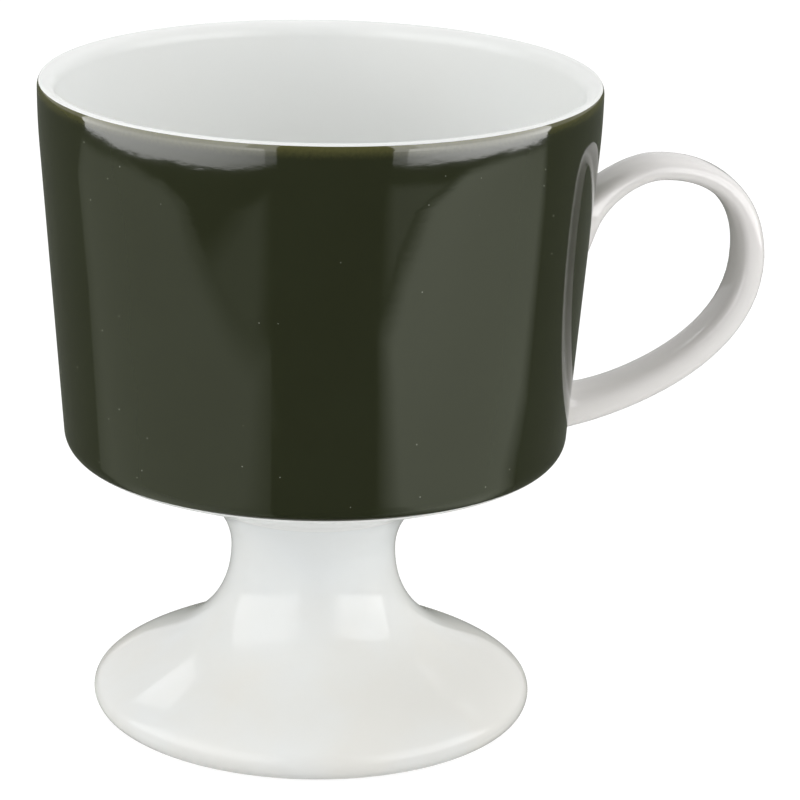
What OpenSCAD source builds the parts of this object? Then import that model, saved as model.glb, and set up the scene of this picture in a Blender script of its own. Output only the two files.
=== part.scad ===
// Footed espresso cup: white porcelain bowl with an olive-green glaze coat, hollow pedestal and ear handle.
// Sizes are in millimetres. The cup stands on z = 0, its axis is Z and its handle points along +X.

/* [Bowl] */
// Height from the resting face to the top of the lip
cup_h = 70.2; // [64:0.2:84]
// Widest outside diameter, just under the lip
rim_d = 59.5; // [58:0.5:70]
// Outside diameter that the tapered wall has at its bottom corner
base_d = 54; // [50:0.2:57]
// Height of that bottom corner above the resting face
base_h = 30.2; // [27:0.2:35]
// Thickness of the wall
wall_t = 2; // [1.6:0.1:3]
// Thickness of the floor
floor_t = 2.6; // [2:0.1:4]
// Height from the widest ring to the top of the lip
shoulder_h = 0.9; // [0.6:0.1:1.6]
// How far the top of the lip stands inside the widest diameter
lip_in = 0.45; // [0.3:0.05:0.8]
// Height of the round on the lip's inner side
lip_round = 1.8; // [0.8:0.1:2.5]
// How far below the widest ring the line of the tapered wall meets the upright that the wall bends to
bend_drop = 3.1; // [1.5:0.1:6]
// Radius of the outside bottom corner
corner_r = 2.4; // [1.5:0.1:4]
// Radius of the inside bottom corner
inner_corner_r = 5; // [2:0.5:8]
// Radius of the bend from the sloped to the flat part of the floor
floor_bend_r = 14; // [6:1:24]
// Slope of the underside down to the neck, in degrees
under_slope = 22; // [14:1:28]

/* [Green coat] */
// Thickness of the green glaze coat
coat_t = 0.2; // [0.1:0.05:0.4]
// Where the coat starts on the shoulder, in degrees up from its widest ring
coat_start = 48; // [20:1:62]
// Where the coat ends on the bottom corner, in degrees down from its side
coat_end = 45; // [38:1:58]
// Gap between the coat and each handle root
coat_gap = 0.1; // [0.05:0.05:0.3]

/* [Pedestal] */
// Diameter of the stem's waist
waist_d = 17.9; // [15:0.1:22]
// Radius of the sweep from the waist up to the bowl's underside
neck_fillet = 7.2; // [5:0.1:9]
// Where the pedestal is joined to the bowl on that sweep, in degrees up from the waist
neck_turn = 50; // [35:1:58]
// Diameter of the foot
foot_d = 47.9; // [44:0.1:56]
// Radius of the round on the foot's edge
foot_edge_r = 1.75; // [1.2:0.05:2.4]
// Where the foot's upper side runs into that round, in degrees up from its side
foot_edge_turn = 46; // [30:1:70]
// How long the stem keeps its upright direction below the waist, as a share of the run to the foot's edge
stem_pull = 1.54; // [1:0.02:1.8]
// How long the foot keeps its edge's direction, as a share of the same run
foot_pull = 0.62; // [0.3:0.02:0.9]
// Thickness of the pedestal's wall
pedestal_t = 2.6; // [2:0.1:3.6]
// Width of the flat ring that the cup rests on
foot_ring_w = 2.2; // [1.4:0.1:4]

/* [Handle] */
// Width of the strap across the handle
handle_w = 6; // [4:0.1:8]
// Thickness of the strap at the top of the arch
handle_top_t = 2.4; // [1.8:0.1:4]
// Thickness of the strap at its outermost point
handle_side_t = 3.1; // [2.4:0.1:5]
// Thickness of the strap where its lower run reaches the wall
handle_low_t = 3.7; // [2.4:0.1:4.2]
// How far below the lip's top the upper root's middle lies
upper_root_drop = 14.6; // [12:0.1:17]
// Angle at which the upper root climbs from the wall, in degrees
upper_root_angle = 38; // [28:1:46]
// How far the arch's top stands above the upper root
arch_rise = 4; // [2:0.1:6]
// How far the arch's top stands out from the wall
arch_out = 8.2; // [7:0.1:11]
// How far the strap's middle stands out from the wall at its outermost point
handle_out = 18.5; // [15:0.1:22]
// How far the outermost point lies below the upper root
side_drop = 6; // [4:0.1:9]
// How far above the wall's bottom corner the lower root's middle lies
lower_root_rise = 2.5; // [2.4:0.1:6]
// Angle at which the lower run falls to the wall, in degrees
lower_root_angle = 10; // [6:1:20]
// Extra thickness of the upper root towards the finger gap
upper_flare_in = 1; // [0.8:0.1:2.2]
// How far down the wall from its middle the upper root runs out
upper_toe = 7.6; // [6.5:0.1:9]
// How much the upper root spreads on each side at the wall
upper_spread = 0.9; // [0:0.1:1.5]
// Extra thickness of the lower root towards the finger gap
lower_flare_in = 1; // [0:0.1:1.6]

/* [Joining slip] */
// Thickness of the slip layer in each joint
slip_t = 0.3; // [0.2:0.05:0.5]

/* [Hidden] */

porcelain_white = [0.95, 0.95, 0.93];
glaze_green = [0.17, 0.19, 0.11];
slip_white = [0.90, 0.90, 0.87];

// Steps on each curve
turn_fn = 96;
shoulder_steps = 8;
upright_steps = 8;
corner_steps = 10;
lip_steps = 8;
bend_steps = 6;
neck_steps = 12;
flow_steps = 32;
edge_steps = 14;
run_steps = 18;
root_steps = 3;
section_points = 20;
// Squareness of the strap's section: 2 is an ellipse, and more is closer to a rectangle
section_power = 3;
// How fast the flares and the outermost point's thickness fade along the strap
upper_flare_fade = 3;
lower_flare_fade = 8;
side_fade = 2;
// How long the strap keeps its direction at each of its points, as shares of the run it starts or ends
upper_root_pull = 0.8;
arch_end_pull = 1.05;
arch_start_pull = 1.9;
side_end_pull = 1.8;
side_start_pull = 1.3;
lower_root_pull = 0.6;
// How far the lower root is run on into the wall before it is cut to it
root_bury = 2;
// Length of the upper root's underside, run on past its toe, as a share of its length to the toe
toe_overrun = 1.5;
// Share of the strap's first and last runs that cuts the coat and is filled with slip at the wall
root_reach = 0.4;

rim_r = rim_d / 2;
base_r = base_d / 2;
waist_r = waist_d / 2;
foot_r = foot_d / 2;

// Outside of the bowl: an elliptical shoulder over the widest ring, and a bend below it, which the straight wall
// leaves as a tangent down to the bottom corner
shoulder_c = [rim_r - lip_in, cup_h - shoulder_h];
wall_base = [base_r, base_h];
wall_run = [rim_r, cup_h - shoulder_h - bend_drop] - wall_base;
taper = atan2(wall_run[0], wall_run[1]);
bend_r = bend_drop / tan(taper / 2);
bend_c = [rim_r - bend_r, cup_h - shoulder_h];
wall_normal = [cos(taper), -sin(taper)];
under_normal = [sin(under_slope), -cos(under_slope)];
corner_c = wall_base - corner_r * (wall_normal + under_normal) / (1 + wall_normal * under_normal);

// Inside of the bowl: the wall and the underside set in by their thicknesses
normals_dot = wall_normal * under_normal;
inner_across = (normals_dot * floor_t - wall_t) / (1 - pow(normals_dot, 2));
inner_up = (normals_dot * wall_t - floor_t) / (1 - pow(normals_dot, 2));
inner_base = wall_base + inner_across * wall_normal + inner_up * under_normal;
inner_lip = [inner_wall_r(cup_h - lip_round), cup_h - lip_round];

// Neck: a sweep that is tangent to the underside and upright at the waist
neck_c_r = waist_r + neck_fillet;
waist_z = base_h - (neck_fillet + sin(under_slope) * (base_r - neck_c_r)) / cos(under_slope);
neck_c = [neck_c_r, waist_z];
joint = neck_c + neck_fillet * [-cos(neck_turn), sin(neck_turn)];
slip_turn = asin(sin(neck_turn) - slip_t / neck_fillet);
pedestal_top = neck_c + neck_fillet * [-cos(slip_turn), sin(slip_turn)];
bore_turn = asin((pedestal_top[1] - waist_z) / (neck_fillet + pedestal_t));
bore_top = neck_c + (neck_fillet + pedestal_t) * [-cos(bore_turn), sin(bore_turn)];

floor_mid = [joint[0], inner_base[1] - (inner_base[0] - joint[0]) * tan(under_slope)];

// Foot: one flowing curve from the waist to the round on the edge
waist = [waist_r, waist_z];
foot_c = [foot_r - foot_edge_r, foot_edge_r];
foot_edge = foot_c + foot_edge_r * [cos(foot_edge_turn), sin(foot_edge_turn)];
foot_run = norm(foot_edge - waist);
stem_dir = stem_pull * foot_run * [0, -1];
foot_dir = foot_pull * foot_run * [sin(foot_edge_turn), -cos(foot_edge_turn)];
ring_in = foot_c[0] - foot_ring_w;

// Handle: four points in the XZ plane and the directions there
upper_z = cup_h - upper_root_drop;
lower_z = base_h + lower_root_rise;
upper_root = [wall_r(upper_z), upper_z];
arch_top = upper_root + [arch_out, arch_rise];
side = upper_root + [handle_out, -side_drop];
lower_root = [wall_r(lower_z), lower_z];
upper_chord = norm(arch_top - upper_root);
lower_chord = norm(lower_root - side);
upper_up = [cos(upper_root_angle), sin(upper_root_angle)];
upper_across = [sin(upper_root_angle), -cos(upper_root_angle)];
upper_dir = upper_root_pull * upper_chord * upper_up;
arch_end = arch_end_pull * upper_chord * [1, 0];
arch_start = [arch_start_pull * (side[0] - arch_top[0]), 0];
side_end = [0, side_end_pull * (side[1] - arch_top[1])];
side_start = side_start_pull * lower_chord * [0, -1];
lower_dir = -lower_root_pull * lower_chord * [cos(lower_root_angle), sin(lower_root_angle)];

// Run-on of each root into the wall: the upper root's underside aims at its toe on the wall
toe_z = upper_z - upper_toe;
upper_under = upper_root + (handle_top_t / 2 + upper_flare_in) * upper_across;
toe_run = toe_overrun * ([wall_r(toe_z), toe_z] - upper_under);
toe_gain = toe_run * upper_across;
upper_bury = -toe_run * upper_up / norm(upper_dir);
lower_bury = (handle_low_t / 2 * tan(lower_root_angle) + root_bury) / norm(lower_dir);

// Outside radius of the straight wall at a height
function wall_r(z) = base_r + (z - base_h) * tan(taper);

// Radius of the wall's inside at a height
function inner_wall_r(z) = wall_r(z) - wall_t / cos(taper);

// Points of an arc
function arc(c, r, from, to, steps) =
    [for (i = [0 : steps]) let (a = from + (to - from) * i / steps) c + r * [cos(a), sin(a)]];

// Points of an elliptical arc, set in along its normals
function oval(c, half, from, to, steps, set_in = 0) =
    [for (i = [0 : steps])
        let (a = from + (to - from) * i / steps, n = [cos(a) / half[0], sin(a) / half[1]])
        c + [half[0] * cos(a), half[1] * sin(a)] - set_in * n / norm(n)];

// Points of a round at corner b between the lines to a and c
function round_corner(a, b, c, r, steps) =
    let (u = (a - b) / norm(a - b), v = (c - b) / norm(c - b))
    let (half = acos(u * v) / 2, m = b + (u + v) / norm(u + v) * r / sin(half))
    let (s = b + u * r / tan(half) - m, e = b + v * r / tan(half) - m)
    let (from = atan2(s[1], s[0]), turn = atan2(s[0] * e[1] - s[1] * e[0], s * e))
    arc(m, r, from, from + turn, steps);

// Point and direction on a cubic run between two points with a direction at each
function run_point(p, d, q, e, s) =
    (1 - s) * (1 - s) * (1 + 2 * s) * p + s * (1 - s) * (1 - s) * d
    + s * s * (3 - 2 * s) * q - s * s * (1 - s) * e;
function run_dir(p, d, q, e, s) =
    6 * s * (1 - s) * (q - p) + (1 - s) * (1 - 3 * s) * d + s * (3 * s - 2) * e;

function reversed(list) = [for (i = [len(list) - 1 : -1 : 0]) list[i]];

// Outside of the bowl over the height of the coat, from top to bottom, set in by a depth
function coated_side(depth) = concat(
    oval(shoulder_c, [lip_in, shoulder_h], coat_start, 0, shoulder_steps, depth),
    arc(bend_c, bend_r - depth, -taper / upright_steps, -taper, upright_steps - 1),
    arc(corner_c, corner_r - depth, -taper, -coat_end, corner_steps));

// Left outline of the pedestal's outside from the joint to the edge, set in by a depth
function pedestal_side(top_turn, depth) = concat(
    arc(neck_c, neck_fillet + depth, 180 - top_turn, 180, neck_steps),
    [for (i = [1 : flow_steps])
        let (s = i / flow_steps, d = run_dir(waist, stem_dir, foot_edge, foot_dir, s))
        run_point(waist, stem_dir, foot_edge, foot_dir, s) - depth * [-d[1], d[0]] / norm(d)]);

// Strap: its middle and direction at a place from 0, the upper root, to 3, the lower root.
// Outside that it runs straight on into the wall.
function strap_point(u) =
    u < 0 ? upper_root + u * upper_dir
    : u < 1 ? run_point(upper_root, upper_dir, arch_top, arch_end, u)
    : u < 2 ? run_point(arch_top, arch_start, side, side_end, u - 1)
    : u < 3 ? run_point(side, side_start, lower_root, lower_dir, u - 2)
    : lower_root + (u - 3) * lower_dir;
function strap_dir(u) =
    u < 0 ? upper_dir
    : u < 1 ? run_dir(upper_root, upper_dir, arch_top, arch_end, u)
    : u < 2 ? run_dir(arch_top, arch_start, side, side_end, u - 1)
    : u < 3 ? run_dir(side, side_start, lower_root, lower_dir, u - 2)
    : lower_dir;

// Half thickness of the strap, and what it is on its inner side with the flares
function strap_half(u) =
    lookup(u, [[2, handle_side_t], [3, handle_low_t]]) / 2
    - (handle_side_t - handle_top_t) / 2 * side_share(u);
function side_share(u) = 1 - pow(min(max(u - 1, 0), 1), side_fade);
function upper_fade(u) = pow(min(max(1 - u, 0), 1), upper_flare_fade);
function lower_fade(u) = pow(min(max(u - 2, 0), 1), lower_flare_fade);
function toe_share(u) = max(-u, 0) / upper_bury;
function half_in(u) =
    strap_half(u) + upper_flare_in * upper_fade(u) + lower_flare_in * lower_fade(u) + toe_gain * toe_share(u);

// Share of a half size that a section's corner round leaves at an angle
function squared(c) = sign(c) * pow(abs(c), 2 / section_power);

// One ring of points round the strap, grown by a margin
function strap_ring(u, grow) =
    let (p = strap_point(u), d = strap_dir(u) / norm(strap_dir(u)))
    [for (j = [0 : section_points - 1])
        let (a = 360 * j / section_points, c = squared(cos(a)))
        let (off = c * ((c > 0 ? strap_half(u) : half_in(u)) + grow))
        let (across = squared(sin(a)) * (handle_w / 2 + upper_spread * upper_fade(u) + grow))
        [p[0] - off * d[1], across, p[1] + off * d[0]]];

// Places of the rings along the strap's parts
upper_places = [for (i = [0 : root_steps]) -upper_bury + (upper_bury + root_reach) * i / root_steps];
lower_places = [for (i = [0 : root_steps]) 3 - root_reach + (lower_bury + root_reach) * i / root_steps];
strap_places = concat([-upper_bury], [for (i = [0 : 3 * run_steps]) i / run_steps], [3 + lower_bury]);

// Solid through a list of rings
module strap(places, grow = 0) {
    rings = [for (u = places) strap_ring(u, grow)];
    n = section_points;
    last = len(places) - 1;
    polyhedron(
        points = [for (ring = rings) each ring],
        faces = concat(
            [[for (j = [n - 1 : -1 : 0]) j]],
            [for (i = [0 : last - 1], j = [0 : n - 1])
                let (k = (j + 1) % n)
                each [[i * n + j, i * n + k, (i + 1) * n + k],
                      [i * n + j, (i + 1) * n + k, (i + 1) * n + j]]],
            [[for (j = [0 : n - 1]) last * n + j]]));
}

// Turned layer between two depths of the coated side, where a negative depth is outside the finished surface
module side_layer(depth_out, depth_in) {
    rotate_extrude($fn = turn_fn)
        polygon(concat(coated_side(depth_out), reversed(coated_side(depth_in))));
}

// Everything inside the surface that the handle's roots are cut to
module root_core() {
    rotate_extrude($fn = turn_fn)
        polygon(concat([[0, cup_h]], coated_side(coat_t - slip_t), [[0, joint[1]]]));
}

module bowl() {
    color(porcelain_white)
    rotate_extrude($fn = turn_fn)
        polygon(concat(
            [[0, joint[1]]],
            arc(neck_c, neck_fillet, 180 - neck_turn, 90 + under_slope, bend_steps),
            arc(corner_c, corner_r, under_slope - 90, -coat_end, bend_steps),
            reversed(coated_side(coat_t)),
            oval(shoulder_c, [lip_in, shoulder_h], coat_start, 90, lip_steps),
            oval([shoulder_c[0], inner_lip[1]], [shoulder_c[0] - inner_lip[0], lip_round],
                90 + 90 / lip_steps, 180, lip_steps - 1),
            round_corner(inner_lip, inner_base, floor_mid, inner_corner_r, corner_steps),
            round_corner(inner_base, floor_mid, [0, floor_mid[1]], floor_bend_r, bend_steps),
            [[0, floor_mid[1]]]));
}

module green_coat() {
    color(glaze_green)
    difference() {
        side_layer(0, coat_t);
        strap(upper_places, coat_gap);
        strap(lower_places, coat_gap);
    }
}

module pedestal() {
    outside = pedestal_side(slip_turn, 0);
    inside = pedestal_side(bore_turn, pedestal_t);
    color(porcelain_white)
    rotate_extrude($fn = turn_fn)
        polygon(concat(
            outside,
            arc(foot_c, foot_edge_r, foot_edge_turn - foot_edge_turn / edge_steps, -90, edge_steps),
            [[ring_in, 0]],
            [for (p = reversed(inside)) if (p[0] < ring_in && p[1] > 0) p]));
}

module handle() {
    color(porcelain_white)
    difference() {
        strap(strap_places);
        root_core();
    }
}

module neck_slip() {
    color(slip_white)
    rotate_extrude($fn = turn_fn)
        polygon([bore_top, pedestal_top, joint, [bore_top[0], joint[1]]]);
}

module upper_handle_slip() {
    color(slip_white)
    intersection() {
        strap(upper_places);
        side_layer(coat_t - slip_t, coat_t);
    }
}

module lower_handle_slip() {
    color(slip_white)
    intersection() {
        strap(lower_places);
        side_layer(coat_t - slip_t, coat_t);
    }
}

bowl();
green_coat();
pedestal();
handle();
neck_slip();
upper_handle_slip();
lower_handle_slip();
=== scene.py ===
"""Espresso cup on a pedestal foot: its looks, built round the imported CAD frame.

The bowl, pedestal and ear handle are white glazed porcelain, and the bowl's outside carries a dark olive glaze.
A small studio stands round it: a pale floor, two soft boxes, and a dark table that shows only in the gloss.
Lengths are in millimetres and angles in degrees until a mesh, a lamp or a node is made.
"""

import logging
import math
from dataclasses import dataclass
from enum import Enum, IntEnum
from functools import cached_property

import bmesh
import bpy
from mathutils import Matrix, Vector


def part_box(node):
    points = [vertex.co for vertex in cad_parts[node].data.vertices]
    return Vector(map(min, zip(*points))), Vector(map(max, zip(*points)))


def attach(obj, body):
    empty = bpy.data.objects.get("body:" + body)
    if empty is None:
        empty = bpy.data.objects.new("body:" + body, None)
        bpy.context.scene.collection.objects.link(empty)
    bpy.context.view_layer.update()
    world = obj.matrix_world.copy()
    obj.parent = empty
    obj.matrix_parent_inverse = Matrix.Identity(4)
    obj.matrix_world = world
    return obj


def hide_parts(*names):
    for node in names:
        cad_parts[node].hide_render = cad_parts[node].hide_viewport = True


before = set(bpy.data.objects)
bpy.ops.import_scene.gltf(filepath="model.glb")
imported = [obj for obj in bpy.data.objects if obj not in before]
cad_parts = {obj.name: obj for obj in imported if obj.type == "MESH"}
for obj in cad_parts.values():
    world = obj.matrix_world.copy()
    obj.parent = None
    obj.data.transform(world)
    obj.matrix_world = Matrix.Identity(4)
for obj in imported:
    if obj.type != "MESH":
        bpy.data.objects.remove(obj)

MM = 0.001
BODY = "root"
TURN_STEPS = 256
SEED_PLANE_MM = 1.0
MERGE_MM = 0.001
SHARP_ANGLE = 40.0
INNER_SHARE = "inner_share"
# Sockets of a Mix node, whose names repeat: its factor, its two plain values, its two colours and the mixed colour
FACTOR, VALUE_A, VALUE_B, COLOUR_A, COLOUR_B, COLOUR_OUT = 0, 2, 3, 6, 7, 2

log = logging.getLogger("espresso_cup")


class Slot(Enum):
    """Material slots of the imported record."""

    PORCELAIN = "white_porcelain"
    GLAZE = "olive_glaze"
    SLIP = "joining_slip"


# Curves in the plane of radius and height

def spread(start: float, end: float, steps: int) -> list[float]:
    """Gives evenly spaced values from start to end, with both ends."""
    return [start + (end - start) * i / steps for i in range(steps + 1)]


def clamped(value: float) -> float:
    """Gives a value held between 0 and 1."""
    return min(max(value, 0.0), 1.0)


def polar(centre: Vector, radius: float, angle: float) -> Vector:
    """Gives the point at a radius and an angle from a centre."""
    turn = math.radians(angle)
    return centre + radius * Vector((math.cos(turn), math.sin(turn)))


def heading(angle: float, length: float = 1.0) -> Vector:
    """Gives the arrow of a length that points at an angle."""
    return polar(Vector((0, 0)), length, angle)


def arc(centre: Vector, radius: float, start: float, end: float, steps: int) -> list[Vector]:
    """Gives the points of a circular arc between two angles."""
    return [polar(centre, radius, angle) for angle in spread(start, end, steps)]


def oval(centre: Vector, half: Vector, start: float, end: float, steps: int, depth: float = 0.0) -> list[Vector]:
    """Gives the points of an elliptical arc, set in along its normals.

    Args:
        centre: Middle of the ellipse.
        half: Half sizes along the radius and the height.
        start: First angle.
        end: Last angle.
        steps: Number of steps between them.
        depth: How far the points are set in.

    Returns:
        The points in order.
    """
    points = []
    for angle in spread(start, end, steps):
        c, s = math.cos(math.radians(angle)), math.sin(math.radians(angle))
        normal = Vector((c / half.x, s / half.y)).normalized()
        points.append(centre + Vector((half.x * c, half.y * s)) - depth * normal)
    return points


def between(start: Vector, end: Vector, steps: int) -> list[Vector]:
    """Gives the points that divide a straight line, without its ends."""
    return [start.lerp(end, i / steps) for i in range(1, steps)]


def rounded(before: Vector, corner: Vector, after: Vector, radius: float, steps: int) -> list[Vector]:
    """Gives the points of a round at a corner.

    Args:
        before: A point on the line into the corner.
        corner: The sharp corner.
        after: A point on the line out of it.
        radius: Radius of the round.
        steps: Number of steps on it.

    Returns:
        The points in order.
    """
    u, v = (before - corner).normalized(), (after - corner).normalized()
    half = u.angle(v) / 2
    centre = corner + (u + v).normalized() * radius / math.sin(half)
    first = corner + u * radius / math.tan(half) - centre
    last = corner + v * radius / math.tan(half) - centre
    start = math.degrees(math.atan2(first.y, first.x))
    turn = math.degrees(math.atan2(first.x * last.y - first.y * last.x, first.dot(last)))
    return arc(centre, radius, start, start + turn, steps)


@dataclass(frozen=True)
class Run:
    """Flowing curve between two points with a direction at each."""

    start: Vector
    start_dir: Vector
    end: Vector
    end_dir: Vector

    def point(self, s: float) -> Vector:
        """Gives the point at a share of the run."""
        t = 1 - s
        return (t * t * (1 + 2 * s) * self.start + s * t * t * self.start_dir
                + s * s * (3 - 2 * s) * self.end - s * s * t * self.end_dir)

    def direction(self, s: float) -> Vector:
        """Gives the direction at a share of the run."""
        t = 1 - s
        return (6 * s * t * (self.end - self.start) + t * (1 - 3 * s) * self.start_dir
                + s * (3 * s - 2) * self.end_dir)


# Modelling by hand

def deselect_all() -> None:
    """Leaves edit mode with nothing selected."""
    if bpy.context.object and bpy.context.object.mode != "OBJECT":
        bpy.ops.object.mode_set(mode="OBJECT")
    bpy.ops.object.select_all(action="DESELECT")


def activate(piece: bpy.types.Object) -> None:
    """Makes a piece the only selected and the active one.

    Args:
        piece: The piece.
    """
    deselect_all()
    piece.select_set(True)
    bpy.context.view_layer.objects.active = piece


def start_piece(name: str) -> bpy.types.Object:
    """Adds a piece at the origin and opens its mesh, empty, in edit mode.

    Args:
        name: Name of the piece and its mesh.

    Returns:
        The new object.
    """
    deselect_all()
    bpy.ops.mesh.primitive_plane_add(size=SEED_PLANE_MM * MM)
    piece = bpy.context.object
    piece.name = piece.data.name = name
    bpy.ops.object.mode_set(mode="EDIT")
    bpy.ops.mesh.delete(type="VERT")
    return piece


def select_vertices(first: int, count: int) -> None:
    """Selects a row of vertices, in the order they were made, in the mesh in edit mode.

    Args:
        first: Number of the first vertex.
        count: How many are selected.
    """
    bpy.ops.mesh.select_all(action="DESELECT")
    mesh = bmesh.from_edit_mesh(bpy.context.object.data)
    mesh.verts.ensure_lookup_table()
    for vertex in mesh.verts[first:first + count]:
        vertex.select_set(True)
    mesh.select_flush(True)
    bmesh.update_edit_mesh(bpy.context.object.data)


def trace(points: list[Vector], closed: bool = False) -> None:
    """Draws a chain of edges: a small plane is merged to one vertex, which is extruded from point to point.

    Args:
        points: Points in millimetres.
        closed: Whether the last point is joined to the first.
    """
    bpy.ops.mesh.primitive_plane_add(size=SEED_PLANE_MM * MM, location=points[0] * MM)
    bpy.ops.mesh.merge(type="CENTER")
    for here, there in zip(points, points[1:]):
        bpy.ops.mesh.extrude_vertices_move(TRANSFORM_OT_translate={"value": (there - here) * MM})
    if closed:
        mesh = bmesh.from_edit_mesh(bpy.context.object.data)
        mesh.verts.ensure_lookup_table()
        mesh.verts[-len(points)].select_set(True)
        bmesh.update_edit_mesh(bpy.context.object.data)
        bpy.ops.mesh.edge_face_add()


def close_mesh() -> None:
    """Merges doubles, points the faces outwards and leaves edit mode with smooth shading."""
    bpy.ops.mesh.select_all(action="SELECT")
    bpy.ops.mesh.remove_doubles(threshold=MERGE_MM * MM)
    bpy.ops.mesh.normals_make_consistent(inside=False)
    bpy.ops.object.mode_set(mode="OBJECT")
    bpy.ops.object.shade_smooth_by_angle(angle=math.radians(SHARP_ANGLE))


def turn_piece(name: str, outline: list[Vector]) -> bpy.types.Object:
    """Spins an outline of radius and height points about the cup's axis.

    Args:
        name: Name of the piece.
        outline: Points in order, from the axis back to the axis or all round a ring.

    Returns:
        The turned piece.
    """
    piece = start_piece(name)
    trace([Vector((point.x, 0, point.y)) for point in outline])
    bpy.ops.mesh.select_all(action="SELECT")
    bpy.ops.mesh.spin(steps=TURN_STEPS, angle=math.tau, center=(0, 0, 0), axis=(0, 0, 1))
    close_mesh()
    return piece


def loft_piece(name: str, rings: list[list[Vector]]) -> bpy.types.Object:
    """Draws rings with the same number of points, bridges each to the next and closes both ends.

    Args:
        name: Name of the piece.
        rings: Rings in order.

    Returns:
        The closed piece.
    """
    piece = start_piece(name)
    count = len(rings[0])
    for ring in rings:
        trace(ring, closed=True)
    for place in range(len(rings) - 1):
        select_vertices(place * count, 2 * count)
        bpy.ops.mesh.bridge_edge_loops()
    for place in (0, len(rings) - 1):
        select_vertices(place * count, count)
        bpy.ops.mesh.edge_face_add()
    close_mesh()
    return piece


def sheet_piece(name: str, corners: list[Vector], border: float = 0.0) -> bpy.types.Object:
    """Draws an outline, fills it with one flat face and insets a border, which the inner share attribute leaves at 0.

    Args:
        name: Name of the piece.
        corners: Corners in order.
        border: Width of the border.

    Returns:
        The flat piece.
    """
    piece = start_piece(name)
    trace(corners, closed=True)
    bpy.ops.mesh.select_all(action="SELECT")
    bpy.ops.mesh.edge_face_add()
    if border:
        bpy.ops.mesh.inset(thickness=border * MM)
    bpy.ops.object.mode_set(mode="OBJECT")
    share = piece.data.attributes.new(INNER_SHARE, "FLOAT", "POINT")
    for face in piece.data.polygons:
        if face.select:
            for vertex in face.vertices:
                share.data[vertex].value = 1.0
    return piece


def cut(piece: bpy.types.Object, cutter: bpy.types.Object) -> None:
    """Cuts a piece with another one.

    Args:
        piece: The piece that stays.
        cutter: The one that is taken away from it and used up.
    """
    activate(piece)
    bpy.ops.object.modifier_add(type="BOOLEAN")
    modifier = piece.modifiers[-1]
    modifier.operation, modifier.solver, modifier.object = "DIFFERENCE", "EXACT", cutter
    bpy.ops.object.modifier_apply(modifier=modifier.name)
    bpy.ops.object.shade_smooth_by_angle(angle=math.radians(SHARP_ANGLE))
    activate(cutter)
    bpy.ops.object.delete()


# Finishes

def linear(code: str) -> tuple[float, float, float, float]:
    """Turns an sRGB hex colour into linear red, green, blue and a full alpha, by the sRGB standard's curve."""
    parts = [int(code[i:i + 2], 16) / 255 for i in (1, 3, 5)]
    return (*(v / 12.92 if v <= 0.04045 else ((v + 0.055) / 1.055) ** 2.4 for v in parts), 1.0)


def add_node(tree: bpy.types.NodeTree, kind: str, inputs: dict | None = None, **settings: object) -> bpy.types.Node:
    """Adds a node, sets its properties, and sets or links its inputs.

    Args:
        tree: Tree that the node joins.
        kind: Node type without its ShaderNode prefix.
        inputs: Values or output sockets by input name or number.
        settings: Node properties.

    Returns:
        The new node.
    """
    node = tree.nodes.new(f"ShaderNode{kind}")
    for name, value in settings.items():
        setattr(node, name, value)
    for key, value in (inputs or {}).items():
        if isinstance(value, bpy.types.NodeSocket):
            tree.links.new(value, node.inputs[key])
        else:
            node.inputs[key].default_value = value
    return node


def per_mm(size: float) -> float:
    """Gives the texture scale at which one cell of a pattern has this size."""
    return 1 / (size * MM)


def new_material(name: str) -> bpy.types.Material:
    """Makes a material with an empty node tree.

    Args:
        name: Name of the material.

    Returns:
        The new material.
    """
    material = bpy.data.materials.new(name)
    material.use_nodes = True
    material.node_tree.nodes.clear()
    return material


def scatter(tree: bpy.types.NodeTree, place: bpy.types.NodeSocket, gap: float, size: float,
            share: float) -> bpy.types.NodeSocket:
    """Strews small specks, at most one in each cell of a mesh of points.

    Args:
        tree: Tree of the material.
        place: Coordinates that the specks are strewn in.
        gap: Distance between the points.
        size: Width of a speck.
        share: Share of the cells that hold one.

    Returns:
        The socket that gives 1 on a speck and 0 beside it.
    """
    cells = add_node(tree, "TexVoronoi", {"Vector": place, "Scale": per_mm(gap)})
    speck = add_node(tree, "Math", {0: cells.outputs["Distance"], 1: size / gap / 2}, operation="LESS_THAN")
    pick = add_node(tree, "SeparateXYZ", {0: cells.outputs["Color"]})
    chosen = add_node(tree, "Math", {0: pick.outputs["X"], 1: share}, operation="LESS_THAN")
    return add_node(tree, "Math", {0: speck.outputs[0], 1: chosen.outputs[0]}, operation="MULTIPLY").outputs[0]


def close_finish(tree: bpy.types.NodeTree, colour: bpy.types.NodeSocket, rough: bpy.types.NodeSocket,
                 relief: bpy.types.NodeSocket, depth: float, constants: dict[str, float]) -> None:
    """Ends a finish with its shader, on a skin that a relief bumps.

    Args:
        tree: Tree of the material.
        colour: Colour of the surface.
        rough: Roughness of the surface.
        relief: Relief from 0 to 1.
        depth: Height of the relief.
        constants: Shader values that are the same all over.
    """
    bump = add_node(tree, "Bump", {"Height": relief, "Distance": depth * MM, "Strength": 1.0})
    shader = add_node(tree, "BsdfPrincipled", {
        "Base Color": colour, "Roughness": rough, "Normal": bump.outputs[0], **constants})
    add_node(tree, "OutputMaterial", {"Surface": shader.outputs[0]})


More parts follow.
